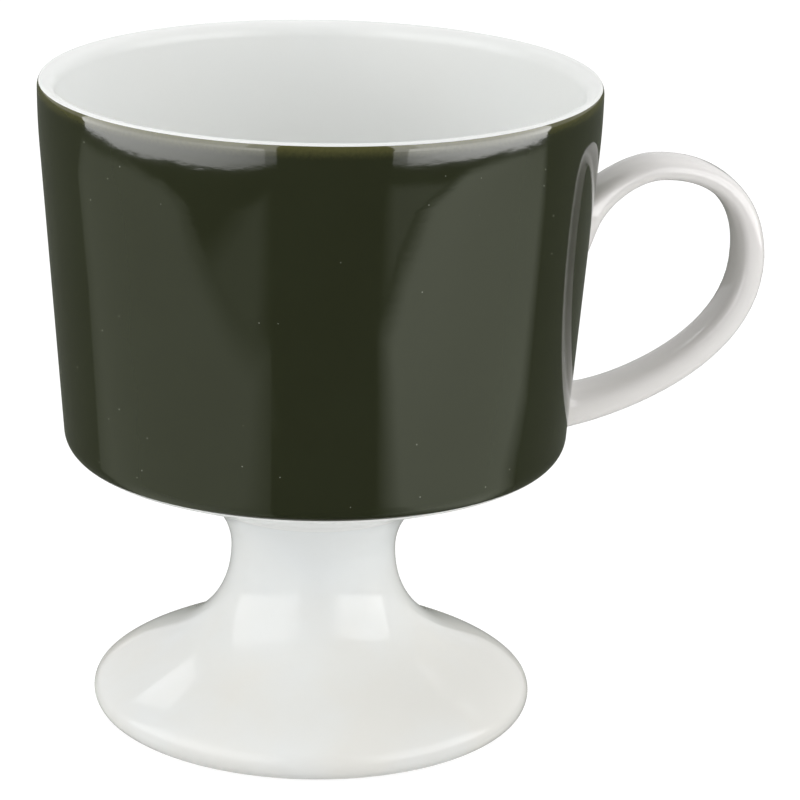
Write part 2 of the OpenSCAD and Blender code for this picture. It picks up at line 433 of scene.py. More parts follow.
@dataclass(frozen=True)
class OliveGlaze:
    """Dark olive glaze, sprayed on and fired to a gloss.

    The eye sees a deep green-black with sharp reflections, a browner thin edge under the lip, a trace of orange peel
    that frays the reflections, and specks of dust.
    """

    edge_z: float
    name: str = "olive_gloss_glaze_sprayed_and_fired"
    deep: str = "#272A19"
    pale: str = "#2B2F1E"
    thin: str = "#575633"
    dust: str = "#8F9286"
    ior: float = 1.5
    gloss_low: float = 0.04
    gloss_high: float = 0.07
    cloud_mm: float = 9.0
    cloud_detail: float = 3.0
    peel_mm: float = 1.2
    peel_detail: float = 2.0
    peel_flat: float = 2.0
    peel_depth_mm: float = 0.0026
    thin_band_mm: float = 1.2
    fray_mm: float = 0.35
    fray_detail: float = 2.0
    fray_depth_mm: float = 0.5
    dust_gap_mm: float = 1.8
    dust_mm: float = 0.13
    dust_share: float = 0.65

    def material(self) -> bpy.types.Material:
        """Builds the glaze's nodes.

        Returns:
            The finished material.
        """
        material = new_material(self.name)
        tree = material.node_tree
        place = add_node(tree, "TexCoord").outputs["Object"]
        clouds = add_node(tree, "TexNoise", {
            "Vector": place, "Scale": per_mm(self.cloud_mm), "Detail": self.cloud_detail}).outputs[0]
        body = add_node(tree, "Mix", {
            FACTOR: clouds, COLOUR_A: linear(self.deep), COLOUR_B: linear(self.pale)}, data_type="RGBA")
        # The glaze pulls thin towards its upper edge, with a frayed border
        fray = add_node(tree, "TexNoise", {
            "Vector": place, "Scale": per_mm(self.fray_mm), "Detail": self.fray_detail})
        height = add_node(tree, "SeparateXYZ", {0: place}).outputs["Z"]
        frayed = add_node(tree, "Math", {0: fray.outputs[0], 1: self.fray_depth_mm * MM, 2: height},
                          operation="MULTIPLY_ADD")
        thinning = add_node(tree, "MapRange", {
            "Value": frayed.outputs[0], "From Min": (self.edge_z - self.thin_band_mm) * MM,
            "From Max": (self.edge_z + self.fray_depth_mm) * MM}, interpolation_type="SMOOTHSTEP")
        edged = add_node(tree, "Mix", {
            FACTOR: thinning.outputs[0], COLOUR_A: body.outputs[COLOUR_OUT], COLOUR_B: linear(self.thin)},
            data_type="RGBA")
        dusty = scatter(tree, place, self.dust_gap_mm, self.dust_mm, self.dust_share)
        colour = add_node(tree, "Mix", {
            FACTOR: dusty, COLOUR_A: edged.outputs[COLOUR_OUT], COLOUR_B: linear(self.dust)}, data_type="RGBA")
        gloss = add_node(tree, "MapRange", {"Value": clouds, "To Min": self.gloss_low, "To Max": self.gloss_high})
        # The peel's bumps lie flat, wider than they are high
        flat = add_node(tree, "Mapping", {"Vector": place, "Scale": (1.0, 1.0, self.peel_flat)}).outputs[0]
        peel = add_node(tree, "TexNoise", {
            "Vector": flat, "Scale": per_mm(self.peel_mm), "Detail": self.peel_detail}).outputs[0]
        close_finish(tree, colour.outputs[COLOUR_OUT], gloss.outputs[0], peel, self.peel_depth_mm, {"IOR": self.ior})
        return material


@dataclass(frozen=True)
class GlazedPorcelain:
    """White porcelain under a clear fired glaze.

    The eye sees a cool white with the faintest warm clouds, soft highlights on a slightly wavy skin, a few pinholes
    and, where the cup stands, a bare ground ring.
    """

    name: str = "white_porcelain_clear_glazed"
    cool: str = "#EBEFF1"
    warm: str = "#EAE9E4"
    pinhole: str = "#B9B4A6"
    bare: str = "#D9D4C8"
    ior: float = 1.5
    specular: float = 0.14
    gloss_low: float = 0.06
    gloss_high: float = 0.10
    bare_gloss: float = 0.7
    bare_z: float = 0.25
    warm_z: float = 6.0
    cool_z: float = 24.0
    low_warmth: float = 1.7
    high_warmth: float = 0.5
    cloud_mm: float = 14.0
    cloud_detail: float = 3.0
    wave_mm: float = 5.0
    wave_detail: float = 1.0
    wave_depth_mm: float = 0.0015
    pinhole_gap_mm: float = 5.0
    pinhole_mm: float = 0.10
    pinhole_share: float = 0.15

    def material(self) -> bpy.types.Material:
        """Builds the porcelain's nodes.

        Returns:
            The finished material.
        """
        material = new_material(self.name)
        tree = material.node_tree
        place = add_node(tree, "TexCoord").outputs["Object"]
        height = add_node(tree, "SeparateXYZ", {0: place}).outputs["Z"]
        # Clouds of a warmer white gather towards the foot
        clouds = add_node(tree, "TexNoise", {
            "Vector": place, "Scale": per_mm(self.cloud_mm), "Detail": self.cloud_detail}).outputs[0]
        warmth = add_node(tree, "MapRange", {
            "Value": height, "From Min": self.warm_z * MM, "From Max": self.cool_z * MM,
            "To Min": self.low_warmth, "To Max": self.high_warmth})
        warmed = add_node(tree, "Math", {0: clouds, 1: warmth.outputs[0]}, operation="MULTIPLY")
        body = add_node(tree, "Mix", {
            FACTOR: warmed.outputs[0], COLOUR_A: linear(self.cool), COLOUR_B: linear(self.warm)}, data_type="RGBA")
        holed = scatter(tree, place, self.pinhole_gap_mm, self.pinhole_mm, self.pinhole_share)
        pitted = add_node(tree, "Mix", {
            FACTOR: holed, COLOUR_A: body.outputs[COLOUR_OUT], COLOUR_B: linear(self.pinhole)}, data_type="RGBA")
        # The ring that the cup stands on is wiped clean of glaze
        bare = add_node(tree, "Math", {0: height, 1: self.bare_z * MM}, operation="LESS_THAN").outputs[0]
        colour = add_node(tree, "Mix", {
            FACTOR: bare, COLOUR_A: pitted.outputs[COLOUR_OUT], COLOUR_B: linear(self.bare)}, data_type="RGBA")
        gloss = add_node(tree, "MapRange", {"Value": clouds, "To Min": self.gloss_low, "To Max": self.gloss_high})
        rough = add_node(tree, "Mix", {FACTOR: bare, VALUE_A: gloss.outputs[0], VALUE_B: self.bare_gloss})
        waves = add_node(tree, "TexNoise", {
            "Vector": place, "Scale": per_mm(self.wave_mm), "Detail": self.wave_detail}).outputs[0]
        close_finish(tree, colour.outputs[COLOUR_OUT], rough.outputs[0], waves, self.wave_depth_mm,
                     {"IOR": self.ior, "Specular IOR Level": self.specular})
        return material


# The pedestal shows the lights in its gloss as soft-edged windows
CLEAR_PORCELAIN = GlazedPorcelain()
# The bowl's white is painted a little lighter, standing in for more light inside the bowl, and its duller gloss keeps
# the inside and the underside calm
SOFT_PORCELAIN_PAINTED_LIGHTER = GlazedPorcelain("white_porcelain_soft_glazed_painted_lighter", "#EFF1F0", "#EDECE8", gloss_low=0.2, gloss_high=0.28)
# The handle's white is painted warmer, standing in for the warm shade and bounce that the olive coat casts on it, and
# its sharper gloss draws thin bright lines along its edges
HANDLE_PORCELAIN_PAINTED_WARM_SHADE = GlazedPorcelain("white_porcelain_clear_glazed_painted_warm_shade", "#EEECEB", "#EDE8E2", specular=0.3,
                                 gloss_low=0.05, gloss_high=0.08)


@dataclass(frozen=True)
class FiredSlip:
    """Joining slip, brushed between two pieces and fired under the glaze: an off-white, finely grained seam."""

    name: str = "porcelain_joining_slip_fired"
    light: str = "#E9EAE8"
    dark: str = "#E2E1DB"
    ior: float = 1.5
    specular: float = 0.14
    gloss_low: float = 0.14
    gloss_high: float = 0.24
    grain_mm: float = 0.6
    grain_detail: float = 3.0
    grain_depth_mm: float = 0.002

    def material(self) -> bpy.types.Material:
        """Builds the slip's nodes.

        Returns:
            The finished material.
        """
        material = new_material(self.name)
        tree = material.node_tree
        place = add_node(tree, "TexCoord").outputs["Object"]
        grain = add_node(tree, "TexNoise", {
            "Vector": place, "Scale": per_mm(self.grain_mm), "Detail": self.grain_detail}).outputs[0]
        colour = add_node(tree, "Mix", {
            FACTOR: grain, COLOUR_A: linear(self.light), COLOUR_B: linear(self.dark)}, data_type="RGBA")
        gloss = add_node(tree, "MapRange", {"Value": grain, "To Min": self.gloss_low, "To Max": self.gloss_high})
        close_finish(tree, colour.outputs[COLOUR_OUT], gloss.outputs[0], grain, self.grain_depth_mm,
                     {"IOR": self.ior, "Specular IOR Level": self.specular})
        return material


def hand_over(piece: bpy.types.Object, node: str, material: bpy.types.Material) -> None:
    """Gives a piece its finish and puts it in the place of a CAD node.

    Args:
        piece: The finished mesh.
        node: CAD node that it stands for.
        material: Its finish.
    """
    piece.data.materials.clear()
    piece.data.materials.append(material)
    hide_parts(node)
    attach(piece, BODY)
    log.info("%s stands for %s with %d faces", piece.name, node, len(piece.data.polygons))


# The cup

@dataclass(frozen=True)
class CupForm:
    """Form that the cup's pieces share. The overall sizes come from the frame."""

    cup_h: float
    rim_r: float
    foot_r: float
    base_r: float = 27.0
    base_h: float = 30.2
    shoulder_h: float = 0.9
    lip_in: float = 0.45
    bend_drop: float = 3.1
    corner_r: float = 2.4
    under_slope: float = 22.0
    coat_t: float = 0.2
    coat_start: float = 48.0
    coat_end: float = 45.0
    coat_gap: float = 0.1
    slip_t: float = 0.3
    waist_r: float = 8.95
    neck_fillet: float = 7.2
    neck_turn: float = 50.0
    shoulder_steps: int = 10
    upright_steps: int = 16
    wall_steps: int = 36
    corner_steps: int = 12

    @classmethod
    def from_frame(cls) -> "CupForm":
        """Reads the height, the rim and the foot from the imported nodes."""
        return cls(cup_h=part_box("bowl")[1].z / MM, rim_r=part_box("green_coat")[1].x / MM,
                   foot_r=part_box("pedestal")[1].x / MM)

    @cached_property
    def shoulder_c(self) -> Vector:
        """Gives the middle of the shoulder's ellipse."""
        return Vector((self.rim_r - self.lip_in, self.cup_h - self.shoulder_h))

    @cached_property
    def shoulder_half(self) -> Vector:
        """Gives the half sizes of the shoulder's ellipse."""
        return Vector((self.lip_in, self.shoulder_h))

    @cached_property
    def wall_base(self) -> Vector:
        """Gives the sharp corner that the wall and the underside would meet at."""
        return Vector((self.base_r, self.base_h))

    @cached_property
    def taper(self) -> float:
        """Gives the straight wall's lean from upright."""
        up = Vector((self.rim_r, self.cup_h - self.shoulder_h - self.bend_drop)) - self.wall_base
        return math.degrees(math.atan2(up.x, up.y))

    @cached_property
    def bend_r(self) -> float:
        """Gives the radius of the bend that brings the wall upright at its widest ring."""
        return self.bend_drop / math.tan(math.radians(self.taper / 2))

    @cached_property
    def wall_normal(self) -> Vector:
        """Gives the direction out of the wall."""
        return heading(-self.taper)

    @cached_property
    def under_normal(self) -> Vector:
        """Gives the direction out of the sloped underside."""
        return heading(self.under_slope - 90)

    @cached_property
    def corner_c(self) -> Vector:
        """Gives the middle of the bottom corner's round."""
        reach = self.corner_r / (1 + self.wall_normal.dot(self.under_normal))
        return self.wall_base - reach * (self.wall_normal + self.under_normal)

    @cached_property
    def neck_c(self) -> Vector:
        """Gives the middle of the sweep from the waist to the underside.

        Returns:
            Its radius and height.
        """
        r = self.waist_r + self.neck_fillet
        slope = math.radians(self.under_slope)
        drop = (self.neck_fillet + math.sin(slope) * (self.base_r - r)) / math.cos(slope)
        return Vector((r, self.base_h - drop))

    @cached_property
    def joint(self) -> Vector:
        """Gives the point on the sweep at which the bowl ends."""
        return polar(self.neck_c, self.neck_fillet, 180 - self.neck_turn)

    @cached_property
    def slip_turn(self) -> float:
        """Gives the angle on the sweep at which the pedestal ends, a slip layer below the bowl."""
        rise = math.sin(math.radians(self.neck_turn)) - self.slip_t / self.neck_fillet
        return math.degrees(math.asin(rise))

    @cached_property
    def coat_top_z(self) -> float:
        """Gives the height of the coat's upper edge."""
        return oval(self.shoulder_c, self.shoulder_half, self.coat_start, self.coat_start, 1)[0].y

    def wall_r(self, z: float) -> float:
        """Gives the straight wall's outside radius at a height."""
        return self.base_r + (z - self.base_h) * math.tan(math.radians(self.taper))

    def coated_side(self, depth: float) -> list[Vector]:
        """Gives the bowl's outside over the coat's height.

        Args:
            depth: How far it is set in.

        Returns:
            The points from the top down.
        """
        shoulder = oval(self.shoulder_c, self.shoulder_half, self.coat_start, 0, self.shoulder_steps, depth)
        bend_c = Vector((self.rim_r - self.bend_r, self.shoulder_c.y))
        bend = arc(bend_c, self.bend_r - depth, 0, -self.taper, self.upright_steps)
        corner = arc(self.corner_c, self.corner_r - depth, -self.taper, -self.coat_end, self.corner_steps)
        return shoulder + bend[1:] + between(bend[-1], corner[0], self.wall_steps) + corner


@dataclass(frozen=True)
class Bowl:
    """White bowl with its lip, wall, floor and neck."""

    form: CupForm
    wall_t: float = 2.0
    floor_t: float = 2.6
    lip_round: float = 1.8
    inner_corner_r: float = 5.0
    floor_bend_r: float = 14.0
    lip_steps: int = 14
    bend_steps: int = 16
    floor_steps: int = 12

    def outline(self) -> list[Vector]:
        """Gives the bowl's outline.

        Returns:
            The points from the axis under the neck, round the lip, to the axis on the floor.
        """
        form = self.form
        dot = form.wall_normal.dot(form.under_normal)
        across = (dot * self.floor_t - self.wall_t) / (1 - dot * dot)
        up = (dot * self.wall_t - self.floor_t) / (1 - dot * dot)
        inner_base = form.wall_base + across * form.wall_normal + up * form.under_normal
        lip_z = form.cup_h - self.lip_round
        inner_lip = Vector((form.wall_r(lip_z) - self.wall_t / math.cos(math.radians(form.taper)), lip_z))
        fall = math.tan(math.radians(form.under_slope))
        floor_mid = Vector((form.joint.x, inner_base.y - (inner_base.x - form.joint.x) * fall))
        floor_axis = Vector((0, floor_mid.y))
        lip_half = Vector((form.shoulder_c.x - inner_lip.x, self.lip_round))
        lip_turn = 90 / self.lip_steps
        neck = arc(form.neck_c, form.neck_fillet, 180 - form.neck_turn, 90 + form.under_slope, self.bend_steps)
        corner = arc(form.corner_c, form.corner_r, form.under_slope - 90, -form.coat_end, self.bend_steps)
        inner_corner = rounded(inner_lip, inner_base, floor_mid, self.inner_corner_r, self.bend_steps)
        floor_bend = rounded(inner_base, floor_mid, floor_axis, self.floor_bend_r, self.bend_steps)
        return ([Vector((0, form.joint.y))] + neck
                + between(neck[-1], corner[0], self.floor_steps) + corner
                + form.coated_side(form.coat_t)[::-1]
                + oval(form.shoulder_c, form.shoulder_half, form.coat_start, 90, self.lip_steps)
                + oval(Vector((form.shoulder_c.x, lip_z)), lip_half, 90 + lip_turn, 180, self.lip_steps - 1)
                + between(inner_lip, inner_corner[0], form.wall_steps) + inner_corner
                + between(inner_corner[-1], floor_bend[0], self.floor_steps) + floor_bend
                + between(floor_bend[-1], floor_axis, self.floor_steps) + [floor_axis])

    def build(self) -> bpy.types.Object:
        """Turns the bowl."""
        return turn_piece("bowl_body", self.outline())

    def dress(self, piece: bpy.types.Object, porcelain: bpy.types.Material) -> None:
        """Glazes the bowl and hands it over."""
        hand_over(piece, "bowl", porcelain)


@dataclass(frozen=True)
class Pedestal:
    """Hollow stem and foot, and the ring of joining slip on top of it."""

    form: CupForm
    wall_t: float = 2.6
    edge_r: float = 1.75
    edge_turn: float = 46.0
    stem_pull: float = 1.54
    foot_pull: float = 0.62
    ring_w: float = 2.2
    neck_steps: int = 20
    flow_steps: int = 64
    edge_steps: int = 24

    @cached_property
    def edge_c(self) -> Vector:
        """Gives the middle of the round on the foot's edge."""
        return Vector((self.form.foot_r - self.edge_r, self.edge_r))

    @cached_property
    def flow(self) -> Run:
        """Gives the curve from the waist to the foot's edge.

        Returns:
            The curve, upright at the waist.
        """
        waist = Vector((self.form.waist_r, self.form.neck_c.y))
        edge = polar(self.edge_c, self.edge_r, self.edge_turn)
        length = (edge - waist).length
        return Run(waist, Vector((0, -self.stem_pull * length)), edge,
                   heading(self.edge_turn - 90, self.foot_pull * length))

    @cached_property
    def top(self) -> Vector:
        """Gives the outer top edge, a slip layer below the bowl."""
        return polar(self.form.neck_c, self.form.neck_fillet, 180 - self.form.slip_turn)

    @cached_property
    def bore_turn(self) -> float:
        """Gives the angle on the sweep at which the hollow ends."""
        rise = (self.top.y - self.form.neck_c.y) / (self.form.neck_fillet + self.wall_t)
        return math.degrees(math.asin(rise))

    @cached_property
    def bore_top(self) -> Vector:
        """Gives the hollow's top edge."""
        return polar(self.form.neck_c, self.form.neck_fillet + self.wall_t, 180 - self.bore_turn)

    def side(self, top_turn: float, depth: float) -> list[Vector]:
        """Gives the outside from the top to the foot's edge, set in by a depth.

        Args:
            top_turn: Angle on the sweep at which it starts.
            depth: How far it is set in.

        Returns:
            The points in order.
        """
        points = arc(self.form.neck_c, self.form.neck_fillet + depth, 180 - top_turn, 180, self.neck_steps)
        for s in spread(0, 1, self.flow_steps)[1:]:
            d = self.flow.direction(s).normalized()
            points.append(self.flow.point(s) - depth * Vector((-d.y, d.x)))
        return points

    def outline(self) -> list[Vector]:
        """Gives the pedestal's outline.

        Returns:
            The points all round it, from the outer top edge back to it.
        """
        ring_in = self.edge_c.x - self.ring_w
        outside = self.side(self.form.slip_turn, 0)
        inside = [p for p in self.side(self.bore_turn, self.wall_t) if p.x < ring_in and p.y > 0]
        edge = arc(self.edge_c, self.edge_r, self.edge_turn, -90, self.edge_steps)[1:]
        return outside + edge + [Vector((ring_in, 0))] + inside[::-1] + outside[:1]

    def build(self) -> tuple[bpy.types.Object, bpy.types.Object]:
        """Turns the pedestal and its slip ring.

        Returns:
            The pedestal and the ring.
        """
        joint = self.form.joint
        ring = [self.bore_top, self.top, joint, Vector((self.bore_top.x, joint.y)), self.bore_top]
        return turn_piece("pedestal_foot", self.outline()), turn_piece("neck_joint", ring)

    def dress(self, foot: bpy.types.Object, joint: bpy.types.Object, porcelain: bpy.types.Material) -> None:
        """Glazes the pedestal and its joint as one skin and hands them over."""
        hand_over(foot, "pedestal", porcelain)
        hand_over(joint, "neck_slip", porcelain)


class Station(IntEnum):
    """Places along the handle's strap at which its runs meet."""

    UPPER_ROOT = 0
    ARCH = 1
    SIDE = 2
    LOWER_ROOT = 3


@dataclass(frozen=True)
class Handle:
    """Ear-shaped strap between two roots on the wall. Its places are counted in stations and shares of a run."""

    form: CupForm
    width: float = 6.0
    top_t: float = 2.4
    side_t: float = 3.1
    low_t: float = 3.7
    upper_drop: float = 14.6
    upper_angle: float = 38.0
    arch_rise: float = 4.0
    arch_out: float = 8.2
    side_out: float = 18.5
    side_drop: float = 6.0
    lower_rise: float = 2.5
    lower_angle: float = 10.0
    upper_flare: float = 1.0
    upper_toe: float = 7.6
    upper_spread: float = 0.9
    lower_flare: float = 1.0
    upper_fade: int = 3
    lower_fade: int = 8
    side_fade: int = 2
    upper_pull: float = 0.8
    arch_end_pull: float = 1.05
    arch_start_pull: float = 1.9
    side_end_pull: float = 1.8
    side_start_pull: float = 1.3
    lower_pull: float = 0.6
    root_bury: float = 2.0
    toe_overrun: float = 1.5
    root_reach: float = 0.4
    squareness: float = 3.0
    section_points: int = 40
    run_steps: int = 24
    root_steps: int = 8

    @cached_property
    def upper_root(self) -> Vector:
        """Gives the middle of the upper root on the wall."""
        z = self.form.cup_h - self.upper_drop
        return Vector((self.form.wall_r(z), z))

    @cached_property
    def lower_root(self) -> Vector:
        """Gives the middle of the lower root on the wall."""
        z = self.form.base_h + self.lower_rise
        return Vector((self.form.wall_r(z), z))

    @cached_property
    def runs(self) -> tuple[Run, Run, Run]:
        """Gives the three curves of the strap's middle.

        Returns:
            The runs up the arch, over to the side and down to the lower root.
        """
        arch = self.upper_root + Vector((self.arch_out, self.arch_rise))
        side = self.upper_root + Vector((self.side_out, -self.side_drop))
        upper, lower, over = (arch - self.upper_root).length, (self.lower_root - side).length, side - arch
        return (
            Run(self.upper_root, heading(self.upper_angle, self.upper_pull * upper),
                arch, Vector((self.arch_end_pull * upper, 0))),
            Run(arch, Vector((self.arch_start_pull * over.x, 0)), side, Vector((0, self.side_end_pull * over.y))),
            Run(side, Vector((0, -self.side_start_pull * lower)),
                self.lower_root, heading(self.lower_angle, -self.lower_pull * lower)))

    @cached_property
    def toe_run(self) -> Vector:
        """Gives the line of the upper root's underside.

        Returns:
            The arrow along it, run on past its toe on the wall.
        """
        toe_z = self.upper_root.y - self.upper_toe
        across = heading(self.upper_angle - 90)
        under = self.upper_root + (self.top_t / 2 + self.upper_flare) * across
        return self.toe_overrun * (Vector((self.form.wall_r(toe_z), toe_z)) - under)

    @cached_property
    def upper_bury(self) -> float:
        """Gives how far the strap runs on into the wall at its upper root."""
        return -self.toe_run.dot(heading(self.upper_angle)) / self.runs[0].start_dir.length

    @cached_property
    def lower_bury(self) -> float:
        """Gives how far the strap runs on into the wall at its lower root."""
        lean = self.low_t / 2 * math.tan(math.radians(self.lower_angle))
        return (lean + self.root_bury) / self.runs[-1].end_dir.length

    def middle(self, u: float) -> tuple[Vector, Vector]:
        """Gives the strap's middle, which runs straight on past both roots.

        Args:
            u: Place along the strap.

        Returns:
            The point and the unit direction there.
        """
        index = min(max(int(u), Station.UPPER_ROOT), Station.SIDE)
        s = clamped(u - index)
        run = self.runs[index]
        direction = run.direction(s)
        return run.point(s) + (u - index - s) * direction, direction.normalized()

    def half_out(self, u: float) -> float:
        """Gives the half thickness on the strap's outer side.

        Args:
            u: Place along the strap.

        Returns:
            The half thickness.
        """
        lower = clamped(u - Station.SIDE)
        rising = 1 - clamped(u - Station.ARCH) ** self.side_fade
        return (self.side_t + (self.low_t - self.side_t) * lower - (self.side_t - self.top_t) * rising) / 2

    def half_in(self, u: float) -> float:
        """Gives the half thickness on the strap's inner side, with the flares of its roots.

        Args:
            u: Place along the strap.

        Returns:
            The half thickness.
        """
        gain = self.toe_run.dot(heading(self.upper_angle - 90))
        return (self.half_out(u) + self.upper_flare * self.upper_share(u)
                + self.lower_flare * clamped(u - Station.SIDE) ** self.lower_fade
                + gain * max(-u, 0.0) / self.upper_bury)

    def upper_share(self, u: float) -> float:
        """Gives how much of the upper root's flare is left at a place."""
        return clamped(Station.ARCH - u) ** self.upper_fade

    def squared(self, c: float) -> float:
        """Gives the share of a half size that the section's rounded corners leave."""
        return math.copysign(abs(c) ** (2 / self.squareness), c)

    def ring(self, u: float, grow: float) -> list[Vector]:
        """Gives the points round the strap at a place.

        Args:
            u: Place along the strap.
            grow: Margin that the section is grown by.

        Returns:
            The points in order.
        """
        point, d = self.middle(u)
        points = []
        for angle in spread(0, 360, self.section_points)[:-1]:
            c, s = (self.squared(v(math.radians(angle))) for v in (math.cos, math.sin))
            off = c * ((self.half_out(u) if c > 0 else self.half_in(u)) + grow)
            across = s * (self.width / 2 + self.upper_spread * self.upper_share(u) + grow)
            points.append(Vector((point.x - off * d.y, across, point.y + off * d.x)))
        return points

    def root_cutters(self) -> list[bpy.types.Object]:
        """Makes the two root ends, grown by the gap that the coat keeps from them.

        Returns:
            The upper and the lower end.
        """
        end = Station.LOWER_ROOT
        upper = spread(-self.upper_bury, self.root_reach, self.root_steps)
        lower = spread(end - self.root_reach, end + self.lower_bury, self.root_steps)
        return [loft_piece(name, [self.ring(u, self.form.coat_gap) for u in places])
                for name, places in (("upper_cutter", upper), ("lower_cutter", lower))]

    def build(self) -> bpy.types.Object:
        """Draws the strap and cuts its ends to the wall, a slip layer off the bowl.

        Returns:
            The strap.
        """
        form, end = self.form, Station.LOWER_ROOT
        along = spread(Station.UPPER_ROOT, end, len(self.runs) * self.run_steps)
        places = [-self.upper_bury, *along, end + self.lower_bury]
        strap = loft_piece("ear_handle", [self.ring(u, 0) for u in places])
        core = [Vector((0, form.cup_h)), *form.coated_side(form.coat_t - form.slip_t), Vector((0, form.joint.y))]
        cut(strap, turn_piece("wall_core", core))
        return strap

    def dress(self, piece: bpy.types.Object, porcelain: bpy.types.Material) -> None:
        """Glazes the handle and hands it over."""
        hand_over(piece, "handle", porcelain)


@dataclass(frozen=True)
class GreenCoat:
    """Olive glaze layer on the bowl's outside, left bare round the handle's roots."""

    form: CupForm
    handle: Handle

    def build(self) -> bpy.types.Object:
        """Turns the layer and cuts the handle's roots out of it.

        Returns:
            The layer.
        """
        outside = self.form.coated_side(0)
        outline = outside + self.form.coated_side(self.form.coat_t)[::-1] + outside[:1]
        coat = turn_piece("olive_coat", outline)
        for cutter in self.handle.root_cutters():
            cut(coat, cutter)
        return coat

    def dress(self, piece: bpy.types.Object) -> None:
        """Colours the layer and hands it over."""
        hand_over(piece, "green_coat", OliveGlaze(edge_z=self.form.coat_top_z).material())


@dataclass(frozen=True)
class RootSlips:
    """The two thin slip layers under the handle's roots, kept from the CAD frame."""

    nodes: tuple[str, ...] = ("upper_handle_slip", "lower_handle_slip")

    def dress(self, slip: bpy.types.Material) -> None:
        """Gives the CAD layers their fired look.

        Args:
            slip: Their finish.
        """
        for node in self.nodes:
            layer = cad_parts[node]
            layer.data.materials.clear()
            layer.data.materials.append(slip)
            log.info("%s keeps its CAD shape", node)


# The studio

class Seen(Enum):
    """Which rays meet a stage piece."""

    ALL = "all"
    GLOSS = "gloss"


class Fade(Enum):
    """How a card's glow changes over it."""

    NONE = "none"
    BORDER = "border"
    FOOT = "foot"


@dataclass(frozen=True)
class Card:
    """Flat stage card that shows only in the gloss.

    Its glow fades to an edge glow, over a span in from its border or up from its foot.
    """

    name: str
    glow: float
    corners: tuple[tuple[float, float, float], ...]
    fade: Fade = Fade.NONE
    edge_glow: float = 0.0
    span: float = 0.0
    tint: str = "#FFFFFF"


@dataclass(frozen=True)
class Lamp:
    """Soft lamp that faces the cup, with its power in watts and the place of its middle from the camera's side."""

    name: str
    power: float
    place: tuple[float, float, float]
    size: tuple[float, float]


